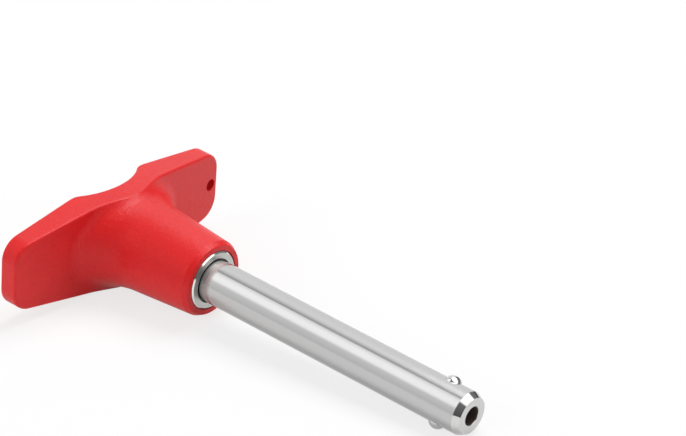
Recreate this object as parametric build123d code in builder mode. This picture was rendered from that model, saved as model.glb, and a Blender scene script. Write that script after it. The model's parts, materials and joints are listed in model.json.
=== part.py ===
"""Self-locking ball lock pin with a moulded T-handle, lying at rest on a surface.

Heights are measured along the pin's axis from the collar's bearing face, positive towards the button. The row
frame has +Z up, +X towards the pin's tip and +Y towards the wing with the lanyard hole. The pin leans down
towards its tip, because the handle rests on its side and the far end rests on a locking ball.
"""

import os
from math import acos, asin, atan, atan2, cos, hypot, radians, sin, sqrt, tan

from build123d import *

os.makedirs("parts", exist_ok=True)

# ---------------------------------------------------------------- driving dimensions (mm, degrees)
# Ground pin
shank_diameter = 12.0
shank_length = 88.0
tip_chamfer_length = 1.9
tip_chamfer_depth = 0.95
spindle_bore_diameter = 5.2
bore_mouth_chamfer = 0.15
relief_diameter = 11.5
relief_length = 1.5

# Collar, key section and stem, turned in one with the pin
collar_diameter = 16.6
collar_thickness = 3.0
collar_chamfer = 0.35
face_groove_width = 0.4
face_groove_depth = 0.5
key_diameter = 16.0
key_width = 14.7
key_length = 4.0
stem_diameter = 14.5
spring_chamber_depth = 20.0
spring_chamber_ledge = 1.0

# Locking balls
ball_diameter = 4.76
ball_tip_distance = 8.7
ball_protrusion = 1.3
ball_axis_angle = 30.0
ball_hole_clearance = 0.04
ball_seat_height = 0.5
ball_retract_depth = 0.05

# Button and spindle
button_diameter = 10.2
button_rise = 6.4
button_chamfer = 0.6
button_travel = 4.5
button_flange_thickness = 1.8
spring_spigot_length = 3.0
spindle_joint_diameter = 4.0
spindle_joint_length = 7.5
spindle_land_reach = 3.2
spindle_end_chamfer = 0.4

# Guide ring, screwed on the stem
ring_diameter = 19.1
ring_sink = 6.7
ring_length = 4.6
ring_lip = 1.6
ring_hole_gap = 0.35
ring_hole_chamfer = 0.5
ring_edge_chamfer = 0.3

# Return spring
spring_wire = 0.8
spring_turns = 5.0

# T-handle
handle_length = 78.5
handle_mid_width = 28.0
handle_end_width = 19.0
handle_bulge_radius = 113.9
wing_corner_radius = 6.0
wing_top_height = 40.4
wing_thickness = 9.8
wing_edge_radius = 0.7
underside_rise_angle = 6.4
underside_ridge_radius = 60.0
boss_end_height = 0.3
boss_end_diameter = 20.0
boss_chamfer_width = 0.8
boss_chamfer_length = 1.5
boss_edge_radius = 0.4
boss_cone_angle = 4.5
flare_length = 12.0
flare_overlap = 3.4
flare_reach = 8.0
flare_side = 1.2
flare_fillet_radius = 5.0
dish_radius = 20.8
dish_depth = 9.2
dish_rim_radius = 2.6
lanyard_hole_diameter = 3.5
lanyard_hole_margin = 3.05

# Fits: radial clearances
running_clearance = 0.05
spindle_clearance = 0.07
seat_clearance = 0.05
pocket_clearance = 0.2
ball_land_clearance = 0.03
spring_clearance = 0.3
face_clearance = 0.05

# ---------------------------------------------------------------- sizes that follow
shank_radius = shank_diameter / 2
stem_radius = stem_diameter / 2
bore_radius = spindle_bore_diameter / 2
ball_radius = ball_diameter / 2
button_radius = button_diameter / 2
ring_radius = ring_diameter / 2

# The balls: how far out their centres stand when locked and when let in, and the ramp that sets the ratio
ball_height = ball_tip_distance - shank_length
ball_out = shank_radius + ball_protrusion - ball_radius
ball_in = shank_radius - ball_retract_depth - ball_radius
ramp_slope = (ball_out - ball_in) / button_travel
ramp_secant = sqrt(1 + ramp_slope**2)

# The spindle's land carries the locked balls; its ramp and neck let them in as the button is pressed
land_radius = ball_out - ball_radius - ball_land_clearance
neck_radius = ball_in - ball_radius - ball_land_clearance
ramp_start = ball_height - ball_radius * (ramp_secant - 1) / ramp_slope
ramp_end = ramp_start + (land_radius - neck_radius) / ramp_slope
neck_end = ball_height + button_travel + ball_radius + ball_hole_clearance
rod_radius = bore_radius - spindle_clearance
rod_start = neck_end + rod_radius - neck_radius
spindle_end = ball_height - spindle_land_reach

# The ring and the button stand in the handle's dish
ring_height = wing_top_height - ring_sink
button_height = ring_height + button_rise

# The stem, the ring that clamps the handle on it, and the button under the ring's lip
stem_top = ring_height - ring_lip
chamber_floor = stem_top - spring_chamber_depth
chamber_radius = button_radius + spring_chamber_ledge
flange_radius = chamber_radius - running_clearance
flange_top = stem_top - face_clearance
flange_bottom = flange_top - button_flange_thickness
ring_bottom = ring_height - ring_length
key_start = boss_end_height + collar_thickness
spigot_radius = chamber_radius - spring_clearance - spring_wire - spring_clearance

# The handle's outline: a straight taper from each end, tangent to the bulge between them
half_length = handle_length / 2
half_mid_width = handle_mid_width / 2
bulge_drop = half_mid_width - handle_end_width / 2 - handle_bulge_radius
taper = atan2(half_length, -bulge_drop) - acos(handle_bulge_radius / hypot(half_length, bulge_drop))
apex_half_width = half_mid_width + handle_bulge_radius * (1 / cos(taper) - 1)
lanyard_hole_place = half_length - lanyard_hole_margin

# The underside rises to both ends from a rounded ridge
underside_slope = tan(radians(underside_rise_angle))
underside_height = wing_top_height - wing_thickness
ridge_height = underside_height + underside_ridge_radius * (1 / cos(radians(underside_rise_angle)) - 1)

# The boss: a cone that flares out into the wings
cone_slope = tan(radians(boss_cone_angle))
cone_start = boss_end_height + boss_chamfer_length
cone_start_radius = boss_end_diameter / 2 + boss_chamfer_width
flare_end = underside_height + flare_overlap
flare_start = flare_end - flare_length

# The dish round the button
dish_centre = wing_top_height - dish_depth + dish_radius
dish_rim_reach = sqrt(dish_radius**2 - (dish_radius - dish_depth) ** 2)
dish_rim_angle = asin(dish_rim_reach / dish_radius)
dish_flat_reach = dish_rim_reach + dish_rim_radius * tan(dish_rim_angle / 2)


def boss_radius(height, growth):
    """The boss's radius at a height; the flare adds to the cone as the square of the way up."""
    way_up = max(0.0, (height - flare_start) / flare_length)
    return cone_start_radius + cone_slope * (height - cone_start) + growth * way_up**2


# ---------------------------------------------------------------- how the pin lies
# At the handle's middle the flare's fillet is an arc; a few rounds of substitution find where it starts.
fillet_height = ridge_height - flare_fillet_radius
touch_height = fillet_height
for _ in range(12):
    side_growth = 2 * flare_side * (touch_height - flare_start) / flare_length**2
    side_angle = atan(cone_slope + side_growth)
    touch_height = fillet_height + flare_fillet_radius * sin(side_angle)
fillet_reach = boss_radius(touch_height, flare_side) + flare_fillet_radius * cos(side_angle)

# The lower ball and the rounded lower edge of the handle's middle touch the surface, which gives the lean.
ball_drop = ball_out * cos(radians(ball_axis_angle))
edge_drop = half_mid_width - wing_edge_radius
edge_gap = flare_fillet_radius + wing_edge_radius
edge_height = fillet_height + sqrt(max(0.0, edge_gap**2 - (fillet_reach - edge_drop) ** 2))
drop_difference = edge_drop - ball_drop
height_difference = edge_height - ball_height
contact_reach = hypot(drop_difference, height_difference)
lean = acos((ball_radius - wing_edge_radius) / contact_reach) - atan2(height_difference, drop_difference)
axis_height = ball_drop * cos(lean) - ball_height * sin(lean) + ball_radius

# The origin is under the middle of the part, on the surface.
rim_width = half_mid_width - (dish_flat_reach**2 - half_mid_width**2) / (2 * handle_bulge_radius)
tip_face_radius = shank_radius - tip_chamfer_depth
tip_reach = shank_length * cos(lean) + tip_face_radius * sin(lean)
wing_reach = wing_edge_radius + (wing_top_height - wing_edge_radius) * cos(lean)
head_reach = wing_reach + (rim_width - wing_edge_radius) * sin(lean)
collar_x = (head_reach - tip_reach) / 2


def through_axis(plane):
    """The plane through another plane's normal: x is its x, and y runs along its normal."""
    return Plane(origin=plane.origin, x_dir=plane.x_dir, z_dir=-plane.y_dir)


pin = Plane(origin=(collar_x, 0, axis_height), x_dir=(0, 1, 0), z_dir=(-cos(lean), 0, sin(lean)))
pin_axis = Axis(pin.origin, pin.z_dir)
# Sketches on this plane are drawn as (distance from the axis along the handle, height along the axis).
lengthwise = through_axis(pin)

# Each ball slides in and out along the z direction of its own plane; the first leans towards the holed wing.
ball_tilt = radians(ball_axis_angle)
ball_axis_point = pin.from_local_coords((0, 0, ball_height))
ball_outward = pin.x_dir * sin(ball_tilt) - pin.y_dir * cos(ball_tilt)
ball_planes = [Plane(origin=ball_axis_point, x_dir=pin.z_dir, z_dir=ball_outward * side) for side in (1, -1)]

# ---------------------------------------------------------------- shank: pin, collar, key section and stem
ball_hole_radius = ball_radius + ball_hole_clearance
mouth_rise = shank_radius - ball_out
mouth_radius = sqrt(ball_radius**2 - mouth_rise**2) + ball_hole_clearance
groove_radius = shank_radius + face_groove_width
relief_radius = relief_diameter / 2
relief_end = shank_radius - relief_radius - relief_length

with BuildPart() as shank:
    with BuildSketch(lengthwise):
        with BuildLine():
            Polyline(
                (bore_radius + bore_mouth_chamfer, -shank_length),
                (tip_face_radius, -shank_length),
                (shank_radius, tip_chamfer_length - shank_length),
                (shank_radius, -relief_length),
                (relief_radius, relief_end),
                (relief_radius, face_groove_depth),
                (groove_radius, face_groove_depth),
                (groove_radius, 0),
                (collar_diameter / 2 - collar_chamfer, 0),
                (collar_diameter / 2, collar_chamfer),
                (collar_diameter / 2, key_start),
                (stem_radius, key_start),
                (stem_radius, stem_top),
                (chamber_radius, stem_top),
                (chamber_radius, chamber_floor),
                (bore_radius, chamber_floor),
                (bore_radius, bore_mouth_chamfer - shank_length),
                close=True,
            )
        make_face()
    revolve(axis=pin_axis)
    # Two flats on the key section stop the handle turning on the stem.
    with BuildSketch(pin.offset(key_start)):
        Circle(key_diameter / 2)
        Rectangle(key_diameter, key_width, mode=Mode.INTERSECT)
        Circle(chamber_radius, mode=Mode.SUBTRACT)
    extrude(amount=key_length)
    # Each ball's hole is closed in at its mouth, so that the ball can't drop out.
    for ball_plane in ball_planes:
        with BuildSketch(through_axis(ball_plane)):
            with BuildLine():
                Polyline(
                    (0, 0),
                    (ball_hole_radius, 0),
                    (ball_hole_radius, ball_out + ball_seat_height),
                    (mouth_radius, shank_radius),
                    (mouth_radius, shank_radius + ball_protrusion),
                    (0, shank_radius + ball_protrusion),
                    close=True,
                )
            make_face()
        revolve(axis=Axis(ball_plane.origin, ball_plane.z_dir), mode=Mode.SUBTRACT)
shank.part.label = "shank"
export_step(shank.part, "parts/shank.step")

# ---------------------------------------------------------------- locking balls
for number, ball_plane in enumerate(ball_planes, start=1):
    with BuildPart(ball_plane.offset(ball_out)) as lock_ball:
        Sphere(ball_radius)
    lock_ball.part.label = f"lock_ball_{number}"
    export_step(lock_ball.part, f"parts/lock_ball_{number}.step")

# ---------------------------------------------------------------- spindle: land, ramp, neck and rod
spindle_joint_radius = spindle_joint_diameter / 2
spigot_bottom = flange_bottom - spring_spigot_length
joint_top = spigot_bottom + spindle_joint_length

with BuildPart() as spindle:
    with BuildSketch(lengthwise):
        with BuildLine():
            Polyline(
                (0, spindle_end),
                (land_radius - spindle_end_chamfer, spindle_end),
                (land_radius, spindle_end + spindle_end_chamfer),
                (land_radius, ramp_start),
                (neck_radius, ramp_end),
                (neck_radius, neck_end),
                (rod_radius, rod_start),
                (rod_radius, spigot_bottom),
                (spindle_joint_radius, spigot_bottom),
                (spindle_joint_radius, joint_top),
                (0, joint_top),
                close=True,
            )
        make_face()
    revolve(axis=pin_axis)
spindle.part.label = "spindle"
export_step(spindle.part, "parts/spindle.step")

# ---------------------------------------------------------------- push button
with BuildPart() as push_button:
    with BuildSketch(lengthwise):
        with BuildLine():
            Polyline(
                (spindle_joint_radius, spigot_bottom),
                (spigot_radius, spigot_bottom),
                (spigot_radius, flange_bottom),
                (flange_radius, flange_bottom),
                (flange_radius, flange_top),
                (button_radius, flange_top),
                (button_radius, button_height - button_chamfer),
                (button_radius - button_chamfer, button_height),
                (0, button_height),
                (0, joint_top),
                (spindle_joint_radius, joint_top),
                close=True,
            )
        make_face()
    revolve(axis=pin_axis)
push_button.part.label = "push_button"
export_step(push_button.part, "parts/push_button.step")

# ---------------------------------------------------------------- guide ring
ring_hole_radius = button_radius + ring_hole_gap
ring_thread_radius = stem_radius + seat_clearance

with BuildPart() as guide_ring:
    with BuildSketch(lengthwise):
        with BuildLine():
            Polyline(
                (ring_thread_radius, ring_bottom),
                (ring_radius, ring_bottom),
                (ring_radius, ring_height - ring_edge_chamfer),
                (ring_radius - ring_edge_chamfer, ring_height),
                (ring_hole_radius + ring_hole_chamfer, ring_height),
                (ring_hole_radius, ring_height - ring_hole_chamfer),
                (ring_hole_radius, stem_top),
                (ring_thread_radius, stem_top),
                close=True,
            )
        make_face()
    revolve(axis=pin_axis)
guide_ring.part.label = "guide_ring"
export_step(guide_ring.part, "parts/guide_ring.step")

# ---------------------------------------------------------------- return spring: square wire, ends ground flat
spring_bottom = chamber_floor + face_clearance
spring_length = flange_bottom - face_clearance - spring_bottom
spring_radius = chamber_radius - spring_clearance - spring_wire / 2
spring_pitch = spring_length / spring_turns

with BuildPart() as return_spring:
    with BuildLine() as coil:
        Helix(spring_pitch, spring_length, spring_radius, pin.offset(spring_bottom).origin, pin.z_dir)
    with BuildSketch(Plane(origin=coil.line @ 0, x_dir=pin.z_dir, z_dir=coil.line % 0)):
        Rectangle(spring_wire, spring_wire)
    sweep(is_frenet=True)
    with BuildSketch(pin.offset(spring_bottom)):
        Circle(chamber_radius)
    extrude(amount=spring_length, mode=Mode.INTERSECT)
return_spring.part.label = "return_spring"
export_step(return_spring.part, "parts/return_spring.step")

# ---------------------------------------------------------------- T-handle
flare_steps = 5

with BuildPart() as t_handle:
    # The wings' underside, on a plate wider than the handle.
    with BuildSketch(lengthwise) as side_view:
        with BuildLine():
            Polyline(
                (0, underside_height),
                (handle_length, underside_height + handle_length * underside_slope),
                (handle_length, dish_centre),
                (-handle_length, dish_centre),
                (-handle_length, underside_height + handle_length * underside_slope),
                close=True,
            )
        make_face()
        fillet(side_view.vertices().sort_by(lambda vertex: vertex.Y)[:1], underside_ridge_radius)
    extrude(amount=handle_length, both=True)
    # The boss: a chamfered cone, then a flare that reaches far out along the handle and little across it.
    with BuildSketch(lengthwise) as boss_profile:
        with BuildLine():
            Polyline(
                (0, boss_end_height),
                (boss_end_diameter / 2, boss_end_height),
                (cone_start_radius, cone_start),
                (boss_radius(flare_start, 0), flare_start),
                (0, flare_start),
                close=True,
            )
        make_face()
        boss_corners = boss_profile.vertices().filter_by(lambda v: v.X > 0 and v.Y < flare_start)
        fillet(boss_corners, boss_edge_radius)
    revolve(axis=pin_axis)
    for step in range(flare_steps + 1):
        height = flare_start + flare_length * step / flare_steps
        with BuildSketch(pin.offset(height)):
            Ellipse(boss_radius(height, flare_reach), boss_radius(height, flare_side))
    loft()
    flare = t_handle.faces().filter_by(GeomType.BSPLINE)
    underside = t_handle.faces().filter_by(lambda face: face.normal_at().dot(pin.z_dir) < -0.9)
    fillet(flare.edges() & underside.edges(), flare_fillet_radius)
    # The handle's outline: two tapers with a wide bulge between them and rounded corners.
    with BuildSketch(pin.offset(boss_end_height)) as outline:
        with BuildLine():
            Polyline(
                (half_length, -handle_end_width / 2),
                (half_length, handle_end_width / 2),
                (0, apex_half_width),
                (-half_length, handle_end_width / 2),
                (-half_length, -handle_end_width / 2),
                (0, -apex_half_width),
                close=True,
            )
        make_face()
        fillet(outline.vertices().sort_by(lambda vertex: abs(vertex.X))[:2], handle_bulge_radius)
        fillet(outline.vertices().sort_by(lambda vertex: abs(vertex.X))[-4:], wing_corner_radius)
    extrude(amount=wing_top_height - boss_end_height, mode=Mode.INTERSECT)
    # The dish round the button, and its rim.
    with Locations(pin.offset(dish_centre)):
        Sphere(dish_radius, mode=Mode.SUBTRACT)
    flats = t_handle.faces().filter_by(GeomType.PLANE)
    top = flats.filter_by(lambda face: face.normal_at().dot(pin.z_dir) > 0.9)
    dish = t_handle.faces().filter_by(GeomType.SPHERE)
    fillet(top.edges() & dish.edges(), dish_rim_radius)
    # The edges round the wings, above and below.
    walls = t_handle.faces().filter_by(lambda face: abs(face.normal_at().dot(pin.z_dir)) < 0.02)
    upper_faces = t_handle.faces().filter_by(lambda face: face.normal_at().dot(pin.z_dir) > 0.2)
    fillet(walls.edges() & upper_faces.edges(), wing_edge_radius)
    walls = t_handle.faces().filter_by(lambda face: abs(face.normal_at().dot(pin.z_dir)) < 0.02)
    lower_faces = t_handle.faces().filter_by(lambda face: face.normal_at().dot(pin.z_dir) < -0.1)
    fillet(walls.edges() & lower_faces.edges(), wing_edge_radius)
    # The seats for the collar, the stem and the guide ring, one behind the other.
    with BuildSketch(lengthwise):
        with BuildLine():
            Polyline(
                (0, 0),
                (collar_diameter / 2 + pocket_clearance, 0),
                (collar_diameter / 2 + pocket_clearance, key_start),
                (stem_radius + seat_clearance, key_start),
                (stem_radius + seat_clearance, ring_bottom),
                (ring_radius + pocket_clearance, ring_bottom),
                (ring_radius + pocket_clearance, wing_top_height),
                (0, wing_top_height),
                close=True,
            )
        make_face()
    revolve(axis=pin_axis, mode=Mode.SUBTRACT)
    with BuildSketch(pin.offset(key_start)):
        Circle(key_diameter / 2 + seat_clearance)
        Rectangle(2 * key_diameter, key_width + 2 * seat_clearance, mode=Mode.INTERSECT)
    extrude(amount=key_length + seat_clearance, mode=Mode.SUBTRACT)
    # The hole for a lanyard.
    with BuildSketch(pin.offset(wing_top_height)):
        with Locations((lanyard_hole_place, 0)):
            Circle(lanyard_hole_diameter / 2)
    extrude(amount=-wing_thickness, mode=Mode.SUBTRACT)
t_handle.part.label = "t_handle"
export_step(t_handle.part, "parts/t_handle.step")
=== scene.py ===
"""T-handle ball lock pin: finishes, turned detail, stage, lights and camera.

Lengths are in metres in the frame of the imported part: +X towards the pin's tip, +Y towards the
wing with the lanyard hole, +Z up. Turned pieces are worked out in the pin's own coordinates, in
millimetres, where z runs along the axis from the collar's face towards the button and x runs
along the handle. They are then placed in the frame.
"""

import json
from math import pi

import bpy
import numpy as np
from mathutils import Matrix, Vector


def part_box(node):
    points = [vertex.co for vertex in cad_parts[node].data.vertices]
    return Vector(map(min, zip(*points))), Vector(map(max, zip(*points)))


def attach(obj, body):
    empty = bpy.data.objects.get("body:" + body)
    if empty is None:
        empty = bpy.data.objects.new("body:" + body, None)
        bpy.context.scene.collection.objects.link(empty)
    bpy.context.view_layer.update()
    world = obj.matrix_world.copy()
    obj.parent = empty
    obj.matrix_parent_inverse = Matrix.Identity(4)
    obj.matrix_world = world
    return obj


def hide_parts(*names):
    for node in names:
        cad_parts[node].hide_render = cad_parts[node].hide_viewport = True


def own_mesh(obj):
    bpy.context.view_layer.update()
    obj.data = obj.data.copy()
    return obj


bl_info = {
    "name": "T-handle ball lock pin",
    "version": (1, 0, 0),
    "blender": (4, 5, 0),
    "location": "View3D > Sidebar > Lock pin",
    "description": "Finishes a packed ball lock pin and sets it on a pale studio stage",
    "category": "Object",
}

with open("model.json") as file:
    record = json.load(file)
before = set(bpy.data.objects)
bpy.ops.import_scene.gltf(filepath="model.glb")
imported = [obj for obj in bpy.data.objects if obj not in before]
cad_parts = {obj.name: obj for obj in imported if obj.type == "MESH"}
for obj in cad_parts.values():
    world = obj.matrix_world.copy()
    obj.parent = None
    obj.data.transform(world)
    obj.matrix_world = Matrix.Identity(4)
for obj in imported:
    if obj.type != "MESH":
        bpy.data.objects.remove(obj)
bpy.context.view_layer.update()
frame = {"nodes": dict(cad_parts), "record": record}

MM = 0.001

# The turned pieces' sizes in millimetres: radii, and heights above the collar's face
BUTTON_RADIUS, BUTTON_TOP = 5.1, 40.1
FLANGE_RADIUS, FLANGE_FOOT, FLANGE_TOP = 6.05, 30.25, 32.05
SPIGOT_RADIUS, SPIGOT_FOOT = 4.7, 27.25
BORE_RADIUS, BORE_END = 2.0, 34.75
RING_RADIUS, RING_FOOT, RING_TOP = 9.55, 29.1, 33.7
RING_BORE_RADIUS, RING_SEAT_RADIUS, RING_STEP = 5.45, 7.3, 32.1
RING_EDGE, RING_BORE_EDGE = 0.3, 0.5
BALL_RADIUS = 2.38
CORNER_RADIUS = 0.1

# The return spring in millimetres: mean radius, side of its square wire, and where it stands
SPRING_RADIUS, SPRING_WIRE, SPRING_WIRE_CORNER = 5.4, 0.8, 0.15
SPRING_FOOT, SPRING_TOP = 12.15, 30.2
# Its turns in all, those that lie closed at each end, and those over which the pitch then opens
SPRING_TURNS, SPRING_CLOSED_TURNS, SPRING_OPENING_TURNS = 5, 0.75, 0.5

# How fine the grids are: steps round a turned piece, along a ball, in each turn of the coil and
# in a corner, and the length of a step along a flat in millimetres
TURN_STEPS, BALL_STEPS, COIL_STEPS = 120, 61, 56
CORNER_STEPS, WIRE_CORNER_STEPS = 4, 3
FLAT_STEP = 0.35
TURNING_MAP = "turning"

# The span of a noise's value over which one shade passes into the other
NOISE_SPAN = (0.3, 0.7)

# The moulded plastic: scales of its patterns per metre, the spans of their shades, how dark the
# grain's pits are, and the grain's depth in millimetres
DRIFT_SCALE, GRAIN_SCALE, PORE_SCALE = 45, 3000, 900
DRIFT_SPAN, MOTTLE_SPAN = (0.3, 0.75), (0.38, 0.62)
PIT_SHADE = 0.87
PLASTIC_GRAIN_DEPTH = 0.08
PLASTIC_ROUGHNESS = (0.34, 0.46)
PLASTIC_IOR, PLASTIC_SPECULAR = 1.46, 0.4
# The gaps between plastic and steel, as spans of radius and of height in millimetres, and the
# colour of the shade painted on the plastic there
COLLAR_GAP_SHADE = ((8.3, 8.58), (0.32, 4.0))
RING_GAP_SHADE = ((9.6, 9.82), (20.0, 33.5))
PAINTED_GAP_SHADE = (0.02, 0.002, 0.002)

# Turned steel: scale of its smudges per metre, and how far its roughness swings
TURNED_SMUDGE_SCALE = 260
TURNED_SWING = (0.8, 1.25)
SPINDLE_COLOUR = (0.26, 0.21, 0.19)

# Blasted steel: scales of its patterns per metre, the grain's depth in millimetres, how dark its
# cloud is, and how far its roughness swings
BLAST_SCALE, CLOUD_SCALE = 7000, 240
BLAST_DEPTH = 0.012
CLOUD_SHADE = 0.88
BLAST_SWING = (0.85, 1.15)

# The ground barrel: scales of its patterns per metre along x, y and z of the pin, how dark they
# are, the depth of the grinding lines in millimetres, and how far its roughness swings
GRINDING_SCALES, STREAK_SCALES = (60, 60, 9000), (2500, 2500, 12)
GRINDING_SHADE, STREAK_SHADE = 0.95, 0.93
GRINDING_DEPTH = 0.0015
GROUND_SMUDGE_SCALE = 90
GROUND_SWING = (0.85, 1.2)
# The wheel runs out over these heights by the collar and leaves the barrel duller there
BARREL = ((5.9, 6.02), (-50, -1.49))
RUN_OUT = (-3.6, -2.2)
RUN_OUT_COLOUR = (0.52, 0.51, 0.5)
RUN_OUT_ROUGHNESS, RUN_OUT_BARE = 0.42, 0.8

# The rest of the shank, zone by zone: colour, roughness and share of bare metal, then the spans
# of radius and of height in millimetres
SHANK_ZONES = {
    "relief": ((0.5, 0.49, 0.475), 0.45, 0.7, (5.0, 5.76), (-1.26, 0.6)),
    # Painted shade: the step where the barrel starts is darker and less bare
    "relief_end_painted_shade": ((0.3, 0.3, 0.3), 0.6, 0.4, (5.76, 5.995), (-1.51, -1.24)),
    "collar_face": ((0.52, 0.53, 0.505), 0.28, 1.0, (6.4, 7.94), (-0.1, 0.05)),
    # Painted shade: the groove in the collar's face is near black
    "face_groove_painted_shade": ((0.1, 0.1, 0.095), 0.5, 1.0, (5.7, 6.45), (0.03, 0.6)),
    # Painted highlight: the collar's polished rim is much brighter than the rest of the steel
    "collar_rim_painted_highlight": ((0.82, 0.82, 0.8), 0.1, 1.0, (7.94, 8.32), (-0.1, 0.4)),
    "tip_chamfer": ((0.66, 0.66, 0.65), 0.06, 1.0, (5.06, 6.02), (-87.97, -86.08)),
    "end_face": ((0.62, 0.62, 0.61), 0.28, 1.0, (2.76, 5.06), (-88.1, -87.9)),
    # Painted shade: the inside of the bore is dark brown
    "bore": ((0.2, 0.155, 0.14), 0.5, 0.8, (0.0, 2.72), (-87.9, -70.0)),
}
# The faces with turned rings on them, and the rings' pitch and depth in millimetres
RINGED_FACES = [((2.7, 5.04), (-88.1, -87.95)), ((6.45, 7.9), (-0.1, 0.05))]
RINGS_PITCH, RINGS_DEPTH = 0.12, 0.003

# The floor: half its side in metres, its colour, and how much of it is plain white to the camera
# and in gloss; the rest is lit and shaded
FLOOR_HALF = 3.0
FLOOR_COLOUR = (0.82, 0.82, 0.82, 1)
FLOOR_GLOW, FLOOR_GLOSS_GLOW = 0.75, 0.35

# The tent's panels as metal shows them: degrees about X from straight up towards the plain wing,
# and brightness
TENT_PANELS = [
    (-150, 0.7),
    (-120, 1.05),
    (-95, 0.97),
    (-32, 1.14),
    (-21, 1.05),
    (-9, 0.7),
    (-1, 0.36),
    (3, 1.25),
    (22, 1.6),
    (43, 1.6),
    (56, 0.98),
    (85, 0.84),
    (125, 0.95),
    (180, 0.8),
]
# The same for what faces the tip: the tent is open in front on the plain wing's side
FRONT_PANELS = [
    (-180, 0.8),
    (-100, 0.8),
    (-92, 0.25),
    (-52, 0.2),
    (-42, 1.7),
    (10, 1.7),
    (22, 0.2),
    (88, 0.1),
    (96, 0.85),
    (180, 0.85),
]
# A colour ramp holds brightness up to 1, so the panels are scaled down by this and up again
PANEL_SCALE = 2.0
# The tent's dark hem between the two runs: X of the direction, and brightness
HEM = [(-0.34, 1.0), (-0.31, 0.25), (-0.05, 0.25), (-0.03, 1.0)]

# The lamps: name, place, aim and size in metres, power in watts, and whether metal shows them
LAMPS = [
    ("overhead", (0.0, 0.35, 0.85), (0, 0, 0), (0.6, 0.6), 6.5, True),
    ("front_fill", (0.8, 0.5, 0.3), (-0.05, 0.02, 0.01), (0.4, 0.4), 1.6, False),
    ("side_panel", (-0.25, -0.8, 0.45), (0, 0, 0.01), (0.7, 0.5), 3.0, False),
]

# The camera in the pin's own coordinates: its place in millimetres, its line of sight and the
# direction to its right; then its sensor in millimetres and its clipping in metres
CAMERA_PLACE = (-592.1, -483.0, -510.0)
CAMERA_SIGHT = (0.6755, 0.5081, 0.5343)
CAMERA_RIGHT = (0.6506, -0.0698, -0.7562)
CAMERA_SENSOR = 36.0
CAMERA_CLIP = (0.05, 10)


def pin_matrix():
    """The pin's own coordinates in the frame, with the origin on the axis at the collar's face."""
    mounts = {mount["name"]: mount for mount in frame["record"]["mounts"]}
    z = -Vector(mounts["shoulder"]["axis"]).normalized()
    x = Vector((0, 1, 0))
    y = z.cross(x).normalized()
    turn = Matrix((x, y, z)).transposed()
    return Matrix.Translation(mounts["shoulder"]["pos_m"]) @ turn.to_4x4()


PIN = pin_matrix()


# ---------------------------------------------------------------- node helpers
def new_material(name):
    """A material with an empty node tree, its tree and its output node."""
    old = bpy.data.materials.get(name)
    if old:
        bpy.data.materials.remove(old)
    material = bpy.data.materials.new(name)
    material.use_nodes = True
    material.node_tree.nodes.clear()
    output = material.node_tree.nodes.new("ShaderNodeOutputMaterial")
    return material, material.node_tree, output


def add(tree, kind, inputs=None, **settings):
    """Adds a node, sets its properties, and links or sets its inputs by name or number."""
    node = tree.nodes.new(kind)
    for name, value in settings.items():
        setattr(node, name, value)
    for name, value in (inputs or {}).items():
        if isinstance(value, bpy.types.NodeSocket):
            tree.links.new(value, node.inputs[name])
        else:
            node.inputs[name].default_value = value
    return node


def add_principled(tree, output, inputs):
    """Ends a material in a Principled shader."""
    shader = add(tree, "ShaderNodeBsdfPrincipled", inputs)
    tree.links.new(shader.outputs[0], output.inputs["Surface"])


def ramp(tree, factor, stops):
    """A colour ramp through (position, colour) stops."""
    node = add(tree, "ShaderNodeValToRGB", {"Fac": factor})
    elements = node.color_ramp.elements
    while len(elements) < len(stops):
        elements.new(0.5)
    for element, (position, colour) in zip(elements, stops):
        element.position = position
        element.color = (*colour, 1)
    return node.outputs["Color"]


def shades(tree, factor, dark, light, span=NOISE_SPAN):
    """A colour that passes from dark to light while the factor goes through the span."""
    return ramp(tree, factor, [(span[0], dark), (span[1], light)])


def dimmed(colour, share):
    """The colour at a share of its brightness."""
    return tuple(share * channel for channel in colour)


def pin_coordinates(tree, scale=(1, 1, 1)):
    """Object coordinates turned into the pin's own, then stretched by scale."""
    inputs = {
        "Vector": add(tree, "ShaderNodeTexCoord").outputs["Object"],
        "Location": PIN.translation,
        "Rotation": PIN.to_euler(),
    }
    placed = add(tree, "ShaderNodeMapping", inputs, vector_type="TEXTURE").outputs[0]
    return vector_calc(tree, "MULTIPLY", placed, scale).outputs["Vector"]


def noise(tree, vector, scale, detail=2.0, roughness=0.5):
    """The value of a noise texture on the vector."""
    inputs = {"Vector": vector, "Scale": scale, "Detail": detail, "Roughness": roughness}
    return add(tree, "ShaderNodeTexNoise", inputs).outputs["Fac"]


def bump(tree, height, depth, normal=None):
    """A normal bent by a height field, its depth in millimetres, over another normal if given."""
    inputs = {"Height": height, "Distance": depth * MM, "Strength": 1.0}
    if normal is not None:
        inputs["Normal"] = normal
    return add(tree, "ShaderNodeBump", inputs).outputs["Normal"]


def progress(tree, value, low, high):
    """How far the value has gone from low to high, from 0 to 1."""
    inputs = {"Value": value, "From Min": low, "From Max": high}
    return add(tree, "ShaderNodeMapRange", inputs).outputs["Result"]


def spread(tree, factor, low, high):
    """A factor from 0 to 1 mapped to the span from low to high."""
    inputs = {"Value": factor, "To Min": low, "To Max": high}
    return add(tree, "ShaderNodeMapRange", inputs).outputs["Result"]


def uneven(tree, factor, roughness, swing):
    """A roughness that swings with the factor, between two shares of itself."""
    return spread(tree, factor, roughness * swing[0], roughness * swing[1])


def calc(tree, operation, *values):
    """A Math node's result on links or numbers."""
    return add(tree, "ShaderNodeMath", dict(enumerate(values)), operation=operation).outputs[0]


def vector_calc(tree, operation, *values):
    """A Vector Math node on links or vectors."""
    return add(tree, "ShaderNodeVectorMath", dict(enumerate(values)), operation=operation)


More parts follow.
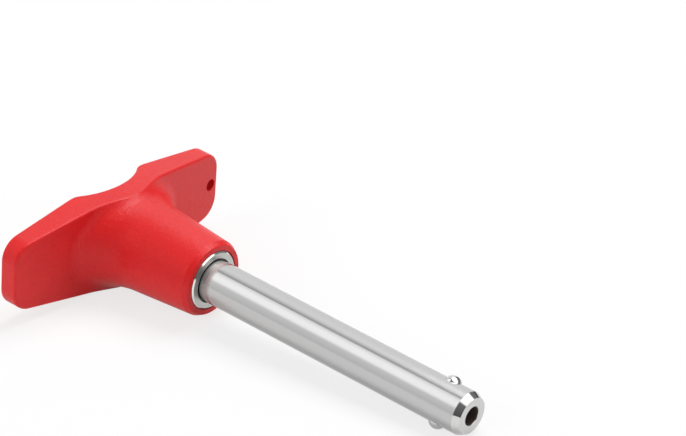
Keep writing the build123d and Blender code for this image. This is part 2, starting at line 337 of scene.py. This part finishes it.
def mixed(tree, base, colour, factor, blend_type="MIX"):
    """The base colour with another over it by the factor; either is a link or a colour."""
    node = add(
        tree, "ShaderNodeMix", {"Factor": factor}, data_type="RGBA", blend_type=blend_type
    )
    first, second = (socket for socket in node.inputs if socket.type == "RGBA")
    for socket, value in ((first, base), (second, colour)):
        if isinstance(value, bpy.types.NodeSocket):
            tree.links.new(value, socket)
        else:
            socket.default_value = (*value, 1)
    return next(socket for socket in node.outputs if socket.type == "RGBA")


def blended(tree, base, value, mask):
    """The base number with another over it where the mask is 1."""
    inputs = {"Factor": mask, "A": base, "B": value}
    return add(tree, "ShaderNodeMix", inputs).outputs["Result"]


def pin_radius_and_height(tree):
    """Each point's distance from the pin's axis and its height along it, in millimetres."""
    place = pin_coordinates(tree, (1 / MM, 1 / MM, 1 / MM))
    across = vector_calc(tree, "MULTIPLY", place, (1, 1, 0)).outputs["Vector"]
    radius = vector_calc(tree, "LENGTH", across).outputs["Value"]
    height = add(tree, "ShaderNodeSeparateXYZ", {0: place}).outputs["Z"]
    return radius, height


def zone(tree, radius, height, radii, heights):
    """1 where both the radius and the height lie in their spans, and 0 elsewhere."""
    masks = [
        calc(tree, "COMPARE", value, (low + high) / 2, (high - low) / 2)
        for value, (low, high) in ((radius, radii), (height, heights))
    ]
    return calc(tree, "MULTIPLY", *masks)


# ---------------------------------------------------------------- shapes
def rounded_path(points, radius, steps, closed=False):
    """A path through points whose corners are arcs.

    An arc of radius r in a corner of half angle a starts r / tan a from the corner, and its
    centre is r / sin a from it along the bisector. The spokes turn evenly from one end to the
    other, by spherical interpolation.
    """
    points = np.array(points, float)
    before, after = np.roll(points, 1, 0) - points, np.roll(points, -1, 0) - points
    before /= np.linalg.norm(before, axis=1, keepdims=True)
    after /= np.linalg.norm(after, axis=1, keepdims=True)
    half = np.arccos(np.clip((before * after).sum(1), -1, 1))[:, None] / 2
    middle = (before + after) / np.linalg.norm(before + after, axis=1, keepdims=True)
    centre = points + middle * radius / np.sin(half)
    start = points + before * radius / np.tan(half) - centre
    end = points + after * radius / np.tan(half) - centre
    sweep = pi - 2 * half
    share = np.linspace(0, 1, steps + 1)[None, :]
    from_start = np.sin((1 - share) * sweep)[..., None] * start[:, None]
    from_end = np.sin(share * sweep)[..., None] * end[:, None]
    path = centre[:, None] + (from_start + from_end) / np.sin(sweep)[..., None]
    if closed:
        return path.reshape(-1, 2)
    return np.concatenate([points[:1], path[1:-1].reshape(-1, 2), points[-1:]])


def with_even_steps(path, step, closed=False):
    """The path with more points along its flats, about a step apart, so that they shade flat.

    The new points lie at even lengths along the path, apart from any within a quarter of a step
    of a point that is there.
    """
    if closed:
        path = np.concatenate([path, path[:1]])
    along = np.concatenate([[0], np.cumsum(np.linalg.norm(np.diff(path, axis=0), axis=1))])
    steps = np.arange(step, along[-1], step)
    clear = np.abs(steps[:, None] - along).min(1) > step / 4
    wanted = np.sort(np.concatenate([along[:-1] if closed else along, steps[clear]]))
    return np.stack([np.interp(wanted, along, path[:, axis]) for axis in (0, 1)], 1)


def by_kind(values, closed_rows):
    """What a grid holds at its cells' corners, as its quads between the triangles at its poles."""
    if closed_rows:
        return [values]
    return [values[:1, :, [0, 2, 3]], values[1:-1], values[-1:, :, [0, 1, 2]]]


def piece_from_grid(name, grid, closed_rows):
    """A closed smooth piece from a grid of points (rows, columns, 3) that closes round its columns.

    Each cell is one quad. Either the rows close too, as on a ring, or the first and the last row
    are each one point, a pole with a fan of triangles. The UV map has the turn as u and the way
    along the profile as v.
    """
    rows, columns = grid.shape[:2]
    row = np.arange(rows if closed_rows else rows - 1)[:, None]
    column = np.arange(columns)[None, :]
    corners = [(row, column), (row, column + 1), (row + 1, column + 1), (row + 1, column)]
    quads = np.stack([down % rows * columns + across % columns for down, across in corners], -1)
    turns = [np.broadcast_arrays(across / columns, down / rows) for down, across in corners]
    turns = np.stack([np.stack(turn, -1) for turn in turns], -2)
    points = grid.reshape(-1, 3)
    if not closed_rows:
        points = points[columns - 1 : len(points) - columns + 1]
        quads = np.clip(quads - columns + 1, 0, len(points) - 1)
    blocks = by_kind(quads, closed_rows)
    faces = sum((block.reshape(-1, block.shape[-1]).tolist() for block in blocks), [])
    mesh = bpy.data.meshes.new(name)
    mesh.from_pydata(points.tolist(), [], faces)
    loop_turns = np.concatenate([block.ravel() for block in by_kind(turns, closed_rows)])
    mesh.uv_layers.new(name=TURNING_MAP).uv.foreach_set("vector", loop_turns)
    mesh.polygons.foreach_set("use_smooth", np.ones(len(mesh.polygons), bool))
    if signed_volume(mesh) < 0:
        mesh.flip_normals()
    mesh.update()
    piece = bpy.data.objects.new(name, mesh)
    bpy.context.scene.collection.objects.link(piece)
    return piece


def signed_volume(mesh):
    """The volume inside a closed mesh, negative if the mesh is inside out.

    It is a sixth of the sum of the triple products of the triangles' corners.
    """
    mesh.calc_loop_triangles()
    corners = np.empty(len(mesh.loop_triangles) * 3, np.int32)
    mesh.loop_triangles.foreach_get("vertices", corners)
    places = np.empty(len(mesh.vertices) * 3)
    mesh.vertices.foreach_get("co", places)
    a, b, c = places.reshape(-1, 3)[corners.reshape(-1, 3)].transpose(1, 0, 2)
    return (a * np.cross(b, c)).sum() / 6


def in_frame(points):
    """Points in the pin's own millimetres, placed in the frame in metres."""
    turn = np.array(PIN.to_3x3())
    return points * MM @ turn.T + np.array(PIN.translation)


def turned(name, profile, centre=(0, 0, 0)):
    """A turned piece about an axis through the centre.

    The profile's point (radius, height) goes to (radius cos a, radius sin a, height) at the
    angle a.
    """
    angle = np.linspace(0, 2 * pi, TURN_STEPS, endpoint=False)[None, :]
    radius, height = profile[:, :1], profile[:, 1:]
    places = np.broadcast_arrays(radius * np.cos(angle), radius * np.sin(angle), height)
    grid = np.stack(places, -1) + np.array(centre)
    return piece_from_grid(name, in_frame(grid), closed_rows=profile[0, 0] > 0)


def button_profile(edge, crown):
    """Half the section of the push button, from the end of its bore to the middle of its top.

    Its corners are small arcs, and the top drops by the crown times the square of the share of
    its radius.
    """
    corners = [
        (0, BORE_END),
        (BORE_RADIUS, BORE_END),
        (BORE_RADIUS, SPIGOT_FOOT),
        (SPIGOT_RADIUS, SPIGOT_FOOT),
        (SPIGOT_RADIUS, FLANGE_FOOT),
        (FLANGE_RADIUS, FLANGE_FOOT),
        (FLANGE_RADIUS, FLANGE_TOP),
        (BUTTON_RADIUS, FLANGE_TOP),
        (BUTTON_RADIUS, BUTTON_TOP - edge),
        (BUTTON_RADIUS - edge, BUTTON_TOP),
        (0, BUTTON_TOP),
    ]
    profile = with_even_steps(rounded_path(corners, CORNER_RADIUS, CORNER_STEPS), FLAT_STEP)
    on_top = profile[:, 1] > BUTTON_TOP - edge / 2
    profile[on_top, 1] -= crown * (profile[on_top, 0] / BUTTON_RADIUS) ** 2
    return profile


def ring_profile():
    """The whole section of the guide ring: broken edges, and a step under it for the button.

    Its corners are small arcs, and its flats have even steps.
    """
    corners = [
        (RING_SEAT_RADIUS, RING_FOOT),
        (RING_RADIUS, RING_FOOT),
        (RING_RADIUS, RING_TOP - RING_EDGE),
        (RING_RADIUS - RING_EDGE, RING_TOP),
        (RING_BORE_RADIUS + RING_BORE_EDGE, RING_TOP),
        (RING_BORE_RADIUS, RING_TOP - RING_BORE_EDGE),
        (RING_BORE_RADIUS, RING_STEP),
        (RING_SEAT_RADIUS, RING_STEP),
    ]
    outline = rounded_path(corners, CORNER_RADIUS, CORNER_STEPS, closed=True)
    return with_even_steps(outline, FLAT_STEP, closed=True)


def ball_profile():
    """Half a circle from pole to pole: (R sin a, -R cos a) as the angle a goes from 0 to pi."""
    angle = np.linspace(0, pi, BALL_STEPS)
    profile = BALL_RADIUS * np.stack([np.sin(angle), -np.cos(angle)], 1)
    profile[[0, -1], 0] = 0
    return profile


def coil_heights(turn):
    """How high the coil's wire stands over its start at each turn, in millimetres.

    The rise of each turn grows from the wire's own height to the open pitch by a smooth step,
    3 s^2 - 2 s^3, and shrinks back to it at the other end. The height is the sum of the rises.
    """
    from_end = np.minimum(turn, turn[-1] - turn) - SPRING_CLOSED_TURNS
    opened = np.clip(from_end, 0, SPRING_OPENING_TURNS) / SPRING_OPENING_TURNS
    opened = 3 * opened**2 - 2 * opened**3
    shares = (opened[1:] + opened[:-1]) / 2
    free_rise = SPRING_TOP - SPRING_FOOT - SPRING_WIRE * (1 + turn[-1])
    rises = SPRING_WIRE / COIL_STEPS + shares * free_rise / shares.sum()
    return np.concatenate([[0], np.cumsum(rises)])


def coil(name, turns):
    """A return spring: a rounded square section carried along a helix with closed ends.

    The section's point (across, up) at the angle a goes to
    ((R + across) cos a, (R + across) sin a, height + up), and a pole closes each end.
    """
    turn = np.linspace(0, turns, turns * COIL_STEPS + 1)
    half = SPRING_WIRE / 2
    square = [(-half, -half), (half, -half), (half, half), (-half, half)]
    section = rounded_path(square, SPRING_WIRE_CORNER, WIRE_CORNER_STEPS, closed=True)
    scale = np.pad(np.ones(len(turn)), 1)[:, None]
    angle = 2 * pi * np.pad(turn, 1, mode="edge")[:, None]
    middle = SPRING_FOOT + half + np.pad(coil_heights(turn), 1, mode="edge")[:, None]
    radius = SPRING_RADIUS + scale * section[:, 0]
    height = middle + scale * section[:, 1]
    grid = np.stack([radius * np.cos(angle), radius * np.sin(angle), height], -1)
    return piece_from_grid(name, in_frame(grid), closed_rows=False)


# ---------------------------------------------------------------- finishes
def moulded_plastic(colour, shade):
    """Satin moulded plastic: an eroded grain, a slow drift of the red, painted shade in the gaps at
    the steel.
    """
    material, tree, output = new_material("moulded_plastic")
    place = pin_coordinates(tree)
    drift = noise(tree, place, DRIFT_SCALE, detail=3)
    grain = noise(tree, place, GRAIN_SCALE, roughness=0.6)
    pores = noise(tree, place, PORE_SCALE)
    tint = shades(tree, drift, shade, colour, DRIFT_SPAN)
    mottle = shades(tree, grain, (PIT_SHADE,) * 3, (1.0,) * 3, MOTTLE_SPAN)
    tint = mixed(tree, tint, mottle, 1.0, "MULTIPLY")
    radius, height = pin_radius_and_height(tree)
    # Painted shade: the plastic's walls in the gaps round the collar and the guide ring are
    # darkened
    gaps = [zone(tree, radius, height, *gap) for gap in (COLLAR_GAP_SHADE, RING_GAP_SHADE)]
    inputs = {
        "Base Color": mixed(tree, tint, PAINTED_GAP_SHADE, calc(tree, "MAXIMUM", *gaps)),
        "Roughness": spread(tree, pores, *PLASTIC_ROUGHNESS),
        "Normal": bump(tree, pores, PLASTIC_GRAIN_DEPTH, bump(tree, grain, PLASTIC_GRAIN_DEPTH)),
        "IOR": PLASTIC_IOR,
        "Specular IOR Level": PLASTIC_SPECULAR,
    }
    add_principled(tree, output, inputs)
    return material


def turned_metal(name, colour, roughness, pitch, depth, anisotropy=0.0, tint=0.06):
    """Turned steel, with tool marks of a pitch and depth in millimetres round the pin's axis.

    The marks run on sides and ends alike, uneven in depth and darker by up to the tint. With
    anisotropy, the shine is drawn out across them, along the piece's UV map.
    """
    material, tree, output = new_material(name)
    radius, height = pin_radius_and_height(tree)
    steps = {"X": calc(tree, "DIVIDE", radius, pitch), "Y": calc(tree, "DIVIDE", height, pitch)}
    across = add(tree, "ShaderNodeCombineXYZ", steps).outputs[0]
    marks = noise(tree, across, 1.0, detail=3, roughness=0.6)
    smudges = noise(tree, pin_coordinates(tree), TURNED_SMUDGE_SCALE, detail=3)
    inputs = {
        "Base Color": shades(tree, marks, dimmed(colour, 1 - tint), colour),
        "Roughness": uneven(tree, smudges, roughness, TURNED_SWING),
        "Normal": bump(tree, marks, depth),
        "Metallic": 1.0,
    }
    if anisotropy:
        tangent = add(tree, "ShaderNodeTangent", direction_type="UV_MAP", uv_map=TURNING_MAP)
        inputs["Anisotropic"] = anisotropy
        inputs["Tangent"] = tangent.outputs[0]
    add_principled(tree, output, inputs)
    return material


def blasted_metal(name, colour, roughness):
    """Fine-blasted steel: a matt grain, with a slow cloud of lighter and darker patches."""
    material, tree, output = new_material(name)
    place = pin_coordinates(tree)
    grain = noise(tree, place, BLAST_SCALE, roughness=0.6)
    cloud = noise(tree, place, CLOUD_SCALE, detail=3)
    inputs = {
        "Base Color": shades(tree, cloud, dimmed(colour, CLOUD_SHADE), colour),
        "Roughness": uneven(tree, cloud, roughness, BLAST_SWING),
        "Normal": bump(tree, grain, BLAST_DEPTH),
        "Metallic": 1.0,
    }
    add_principled(tree, output, inputs)
    return material


def ground_shank(colour, roughness):
    """The shank's finishes by zone: ground barrel, bright chamfers with a painted highlight on the
    collar's rim, turned faces, painted shade in the bore and recesses.
    """
    material, tree, output = new_material("ground_steel")
    radius, height = pin_radius_and_height(tree)
    along, across = (pin_coordinates(tree, scales) for scales in (GRINDING_SCALES, STREAK_SCALES))
    lines = noise(tree, along, 1.0, detail=4, roughness=0.65)
    streaks = noise(tree, across, 1.0, detail=3, roughness=0.6)
    smudges = noise(tree, pin_coordinates(tree), GROUND_SMUDGE_SCALE, detail=3)
    tint = shades(tree, lines, dimmed(colour, GRINDING_SHADE), colour)
    tint = mixed(tree, tint, dimmed(colour, STREAK_SHADE), streaks)
    shine = uneven(tree, smudges, roughness, GROUND_SWING)
    dull = progress(tree, height, *RUN_OUT)
    dull = calc(tree, "MULTIPLY", dull, zone(tree, radius, height, *BARREL))
    tint = mixed(tree, tint, RUN_OUT_COLOUR, dull)
    shine = blended(tree, shine, RUN_OUT_ROUGHNESS, dull)
    bare = blended(tree, 1.0, RUN_OUT_BARE, dull)
    for zone_colour, zone_roughness, zone_bare, radii, heights in SHANK_ZONES.values():
        mask = zone(tree, radius, height, radii, heights)
        tint = mixed(tree, tint, zone_colour, mask)
        shine = blended(tree, shine, zone_roughness, mask)
        bare = blended(tree, bare, zone_bare, mask)
    rings = calc(tree, "SINE", calc(tree, "MULTIPLY", radius, 2 * pi / RINGS_PITCH))
    ringed = [zone(tree, radius, height, *face) for face in RINGED_FACES]
    rings = calc(tree, "MULTIPLY", rings, calc(tree, "MAXIMUM", *ringed))
    inputs = {
        "Base Color": tint,
        "Roughness": shine,
        "Normal": bump(tree, rings, RINGS_DEPTH, bump(tree, lines, GRINDING_DEPTH)),
        "Metallic": bare,
    }
    add_principled(tree, output, inputs)
    return material


def set_up(piece, body, node, material):
    """A new piece takes its finish, rides on its body and stands for its CAD node."""
    piece.data.materials.append(material)
    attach(piece, body)
    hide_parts(node)


def give(node_name, material):
    """The material takes every slot of a CAD node."""
    mesh = frame["nodes"][node_name].data
    mesh.materials.clear()
    mesh.materials.append(material)


# ---------------------------------------------------------------- stage
def floor_material():
    """A pale floor, near white to the camera, a little so in gloss, that keeps a soft shadow."""
    material, tree, output = new_material("stage_floor")
    path = add(tree, "ShaderNodeLightPath").outputs
    seen = calc(tree, "MAXIMUM", path["Is Camera Ray"], path["Is Transmission Ray"])
    by_eye = calc(tree, "MULTIPLY", seen, FLOOR_GLOW)
    in_gloss = calc(tree, "MULTIPLY", path["Is Glossy Ray"], FLOOR_GLOSS_GLOW)
    matt = add(tree, "ShaderNodeBsdfDiffuse", {"Color": FLOOR_COLOUR})
    glow = add(tree, "ShaderNodeEmission", {"Color": (1, 1, 1, 1), "Strength": 1.0})
    share = calc(tree, "MAXIMUM", by_eye, in_gloss)
    inputs = {0: share, 1: matt.outputs[0], 2: glow.outputs[0]}
    tree.links.new(add(tree, "ShaderNodeMixShader", inputs).outputs[0], output.inputs["Surface"])
    return material


def flat_floor():
    """A square floor at the height that the pin rests on."""
    mesh = bpy.data.meshes.new("floor")
    corners = [(-FLOOR_HALF, -FLOOR_HALF, 0), (FLOOR_HALF, -FLOOR_HALF, 0)]
    corners += [(FLOOR_HALF, FLOOR_HALF, 0), (-FLOOR_HALF, FLOOR_HALF, 0)]
    mesh.from_pydata(corners, [], [(0, 1, 2, 3)])
    mesh.materials.append(floor_material())
    floor = bpy.data.objects.new("floor", mesh)
    bpy.context.scene.collection.objects.link(floor)
    return floor


def area_light(name, place, aim, size, power, in_gloss):
    """A soft rectangular lamp at a place, aimed at a point; in gloss, metal shows it."""
    lamp = bpy.data.lights.new(name, "AREA")
    lamp.shape = "RECTANGLE"
    lamp.size, lamp.size_y = size
    lamp.energy = power
    stand = bpy.data.objects.new(name, lamp)
    stand.location = place
    stand.rotation_euler = (Vector(aim) - Vector(place)).to_track_quat("-Z", "Y").to_euler()
    stand.visible_glossy = in_gloss
    bpy.context.scene.collection.objects.link(stand)


def tent_in_gloss(tree):
    """The tent's brightness as metal shows it.

    The panels run along the pin, so their brightness depends on the angle about X: 0 is straight
    up, a quarter turn is level on the side of the plain wing, and the dark line is the tent's
    seam. What faces the tip shows the front's panels, and the hem lies between the two runs. Both
    ramps are spread over their whole ranges: half a turn each way, and X from -1 to 1.
    """
    direction = add(tree, "ShaderNodeTexCoord").outputs["Generated"]
    ways = add(tree, "ShaderNodeSeparateXYZ", {0: direction}).outputs
    angle = calc(tree, "ARCTAN2", calc(tree, "MULTIPLY", ways["Y"], -1.0), ways["Z"])
    turn = progress(tree, angle, -pi, pi)
    runs = []
    for panels in (TENT_PANELS, FRONT_PANELS):
        stops = [(0.5 + degrees / 360, (level / PANEL_SCALE,) * 3) for degrees, level in panels]
        runs.append(calc(tree, "MULTIPLY", ramp(tree, turn, stops), PANEL_SCALE))
    panel = blended(tree, *runs, progress(tree, ways["X"], HEM[0][0], HEM[-1][0]))
    stops = [((way + 1) / 2, (level,) * 3) for way, level in HEM]
    hem = ramp(tree, progress(tree, ways["X"], -1.0, 1.0), stops)
    return calc(tree, "MULTIPLY", panel, hem)


def studio_world(level):
    """A white tent: plain white to the camera, softer as a light, panelled where metal shows it."""
    world = bpy.data.worlds.new("studio")
    world.use_nodes = True
    tree = world.node_tree
    tree.nodes.clear()
    output = tree.nodes.new("ShaderNodeOutputWorld")
    path = add(tree, "ShaderNodeLightPath").outputs
    seen = calc(tree, "MAXIMUM", path["Is Camera Ray"], path["Is Transmission Ray"])
    soft = spread(tree, seen, level, 1.0)
    strength = blended(tree, soft, tent_in_gloss(tree), path["Is Glossy Ray"])
    light = add(tree, "ShaderNodeBackground", {"Color": (1, 1, 1, 1), "Strength": strength})
    tree.links.new(light.outputs[0], output.inputs["Surface"])
    bpy.context.scene.world = world


def set_camera(lens):
    """The camera stands at its place beside the tip and looks along its line of sight."""
    camera = bpy.data.cameras.new("studio_camera")
    camera.lens = lens
    camera.sensor_width = CAMERA_SENSOR
    camera.clip_start, camera.clip_end = CAMERA_CLIP
    stand = bpy.data.objects.new("studio_camera", camera)
    bpy.context.scene.collection.objects.link(stand)
    turn = PIN.to_3x3()
    place = PIN @ (Vector(CAMERA_PLACE) * MM)
    forward = (turn @ Vector(CAMERA_SIGHT)).normalized()
    right = turn @ Vector(CAMERA_RIGHT)
    right = (right - right.dot(forward) * forward).normalized()
    up = right.cross(forward)
    axes = Matrix((right, up, -forward)).transposed()
    stand.matrix_world = Matrix.Translation(place) @ axes.to_4x4()
    bpy.context.scene.camera = stand


# ---------------------------------------------------------------- settings
class LockPinHandle(bpy.types.PropertyGroup):
    """Finish of the T-handle."""

    colour: bpy.props.FloatVectorProperty(
        name="Colour",
        description="Colour of the moulded plastic",
        default=(0.735, 0.010, 0.011),
        subtype="COLOR",
        size=3,
    )
    shade: bpy.props.FloatVectorProperty(
        name="Shade",
        description="Darker drift of the plastic's colour",
        default=(0.68, 0.007, 0.009),
        subtype="COLOR",
        size=3,
    )


class LockPinMetal(bpy.types.PropertyGroup):
    """Finish of the ground shank."""

    steel: bpy.props.FloatVectorProperty(
        name="Steel",
        description="Colour of the stainless steel",
        default=(0.555, 0.558, 0.555),
        subtype="COLOR",
        size=3,
    )
    shank_roughness: bpy.props.FloatProperty(
        name="Shank roughness",
        description="Roughness of the ground shank",
        default=0.15,
        min=0.02,
        max=1,
        subtype="FACTOR",
    )


class LockPinButton(bpy.types.PropertyGroup):
    """Shape and finish of the push button."""

    edge: bpy.props.FloatProperty(
        name="Edge",
        description="Width of the chamfer round the top",
        default=0.6 * MM,
        min=0.15 * MM,
        max=1.5 * MM,
        unit="LENGTH",
    )
    crown: bpy.props.FloatProperty(
        name="Crown",
        description="Rise of the top's middle over its edge",
        default=0.08 * MM,
        min=0,
        max=0.2 * MM,
        unit="LENGTH",
    )
    pitch: bpy.props.FloatProperty(
        name="Tool pitch",
        description="Distance between tool marks",
        default=0.11 * MM,
        min=0.02 * MM,
        max=MM,
        unit="LENGTH",
    )
    colour: bpy.props.FloatVectorProperty(
        name="Colour",
        description="Colour of the turned steel",
        default=(0.6, 0.6, 0.59),
        subtype="COLOR",
        size=3,
    )


class LockPinRing(bpy.types.PropertyGroup):
    """Finish of the guide ring."""

    colour: bpy.props.FloatVectorProperty(
        name="Colour",
        description="Colour of the blasted steel",
        default=(0.62, 0.615, 0.6),
        subtype="COLOR",
        size=3,
    )
    roughness: bpy.props.FloatProperty(
        name="Roughness",
        description="Roughness of the blasted face",
        default=0.42,
        min=0.05,
        max=1,
        subtype="FACTOR",
    )


class LockPinSpring(bpy.types.PropertyGroup):
    """Shape and finish of the return spring."""

    turns: bpy.props.IntProperty(
        name="Turns", description="Turns of the wire", default=SPRING_TURNS, min=4, max=9
    )
    colour: bpy.props.FloatVectorProperty(
        name="Colour",
        description="Colour of the spring steel",
        default=(0.4, 0.4, 0.4),
        subtype="COLOR",
        size=3,
    )


class LockPinBalls(bpy.types.PropertyGroup):
    """Finish of the lock balls."""

    colour: bpy.props.FloatVectorProperty(
        name="Colour",
        description="Colour of the polished steel",
        default=(0.62, 0.62, 0.62),
        subtype="COLOR",
        size=3,
    )


class LockPinStage(bpy.types.PropertyGroup):
    """Light and camera."""

    lens: bpy.props.FloatProperty(
        name="Lens",
        description="Focal length of the camera",
        default=181.9,
        min=20,
        max=400,
        unit="CAMERA",
    )
    room_level: bpy.props.FloatProperty(
        name="Room light",
        description="Strength of the room's soft light",
        default=0.42,
        min=0,
        max=2,
    )


# ---------------------------------------------------------------- steps
class LOCKPIN_OT_handle(bpy.types.Operator):
    """Finish the T-handle in satin moulded plastic."""

    bl_idname = "lockpin.handle"
    bl_label = "Finish handle"

    def execute(self, context):
        settings = context.scene.lockpin_handle
        give("t_handle", moulded_plastic(tuple(settings.colour), tuple(settings.shade)))
        return {"FINISHED"}


class LOCKPIN_OT_metal(bpy.types.Operator):
    """Finish the ground shank and the spindle in steel."""

    bl_idname = "lockpin.metal"
    bl_label = "Finish steel"

    def execute(self, context):
        settings = context.scene.lockpin_metal
        give("shank", ground_shank(tuple(settings.steel), settings.shank_roughness))
        dark = turned_metal(
            "spindle_steel", SPINDLE_COLOUR, roughness=0.4, pitch=0.12, depth=0.004, tint=0.4
        )
        give("spindle", dark)
        return {"FINISHED"}


class LOCKPIN_OT_button(bpy.types.Operator):
    """Turn the push button, with its chamfer, its crowned top and its tool marks."""

    bl_idname = "lockpin.button"
    bl_label = "Turn button"

    def execute(self, context):
        settings = context.scene.lockpin_button
        profile = button_profile(settings.edge / MM, settings.crown / MM)
        button = turned("push_button_turned", profile)
        steel = turned_metal(
            "button_steel",
            tuple(settings.colour),
            roughness=0.24,
            pitch=settings.pitch / MM,
            depth=0.003,
            anisotropy=0.6,
        )
        set_up(button, "plunger", "push_button", steel)
        return {"FINISHED"}


class LOCKPIN_OT_ring(bpy.types.Operator):
    """Turn the guide ring that the button slides in."""

    bl_idname = "lockpin.ring"
    bl_label = "Turn guide ring"

    def execute(self, context):
        settings = context.scene.lockpin_ring
        ring = turned("guide_ring_turned", ring_profile())
        steel = blasted_metal("ring_steel", tuple(settings.colour), settings.roughness)
        set_up(ring, "handle_and_shank", "guide_ring", steel)
        return {"FINISHED"}


class LOCKPIN_OT_spring(bpy.types.Operator):
    """Coil the return spring."""

    bl_idname = "lockpin.spring"
    bl_label = "Coil return spring"

    def execute(self, context):
        settings = context.scene.lockpin_spring
        spring = coil("return_spring_coiled", settings.turns)
        steel = turned_metal(
            "spring_steel", tuple(settings.colour), roughness=0.3, pitch=0.2, depth=0.004
        )
        set_up(spring, "handle_and_shank", "return_spring", steel)
        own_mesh(spring)
        return {"FINISHED"}


class LOCKPIN_OT_balls(bpy.types.Operator):
    """Make the two polished lock balls."""

    bl_idname = "lockpin.balls"
    bl_label = "Make lock balls"

    def execute(self, context):
        colour = tuple(context.scene.lockpin_balls.colour)
        polished = turned_metal(
            "ball_steel", colour, roughness=0.05, pitch=0.4, depth=0.0, tint=0.02
        )
        for body in ("ball_1", "ball_2"):
            node = "lock_" + body
            low, high = (Vector(corner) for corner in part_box(node))
            centre = PIN.inverted() @ ((low + high) / 2) / MM
            ball = turned(node + "_polished", ball_profile(), centre)
            set_up(ball, body, node, polished)
        return {"FINISHED"}


class LOCKPIN_OT_stage(bpy.types.Operator):
    """Set the floor, the lamps, the room and the camera."""

    bl_idname = "lockpin.stage"
    bl_label = "Set stage"

    def execute(self, context):
        settings = context.scene.lockpin_stage
        floor = flat_floor()
        for lamp in LAMPS:
            area_light(*lamp)
        studio_world(settings.room_level)
        set_camera(settings.lens)
        context.scene.view_settings.view_transform = "Standard"
        return {"FINISHED"}


class LOCKPIN_PT_panel(bpy.types.Panel):
    """The pin's settings in the sidebar, each group over the step that reads it."""

    bl_label = "Lock pin"
    bl_space_type = "VIEW_3D"
    bl_region_type = "UI"
    bl_category = "Lock pin"

    def draw(self, context):
        for name, (group, operator) in STEPS.items():
            box = self.layout.box()
            for setting in group.__annotations__:
                box.prop(getattr(context.scene, name), setting)
            box.operator(operator.bl_idname)


# The settings' names on the scene, their groups, and the steps that read them, in order
STEPS = {
    "lockpin_handle": (LockPinHandle, LOCKPIN_OT_handle),
    "lockpin_metal": (LockPinMetal, LOCKPIN_OT_metal),
    "lockpin_button": (LockPinButton, LOCKPIN_OT_button),
    "lockpin_ring": (LockPinRing, LOCKPIN_OT_ring),
    "lockpin_spring": (LockPinSpring, LOCKPIN_OT_spring),
    "lockpin_balls": (LockPinBalls, LOCKPIN_OT_balls),
    "lockpin_stage": (LockPinStage, LOCKPIN_OT_stage),
}
CLASSES = [item for step in STEPS.values() for item in step] + [LOCKPIN_PT_panel]


def register():
    """Registers the classes and hangs the settings on the scene."""
    for item in CLASSES:
        bpy.utils.register_class(item)
    for name, (group, _) in STEPS.items():
        setattr(bpy.types.Scene, name, bpy.props.PointerProperty(type=group))


def unregister():
    """Takes the settings and the classes away again."""
    for name in STEPS:
        delattr(bpy.types.Scene, name)
    for item in reversed(CLASSES):
        bpy.utils.unregister_class(item)


def main():
    """Builds every piece and the stage."""
    register()
    bpy.ops.lockpin.handle()
    bpy.ops.lockpin.metal()
    bpy.ops.lockpin.button()
    bpy.ops.lockpin.ring()
    bpy.ops.lockpin.spring()
    bpy.ops.lockpin.balls()
    bpy.ops.lockpin.stage()


if __name__ == "__main__":
    main()
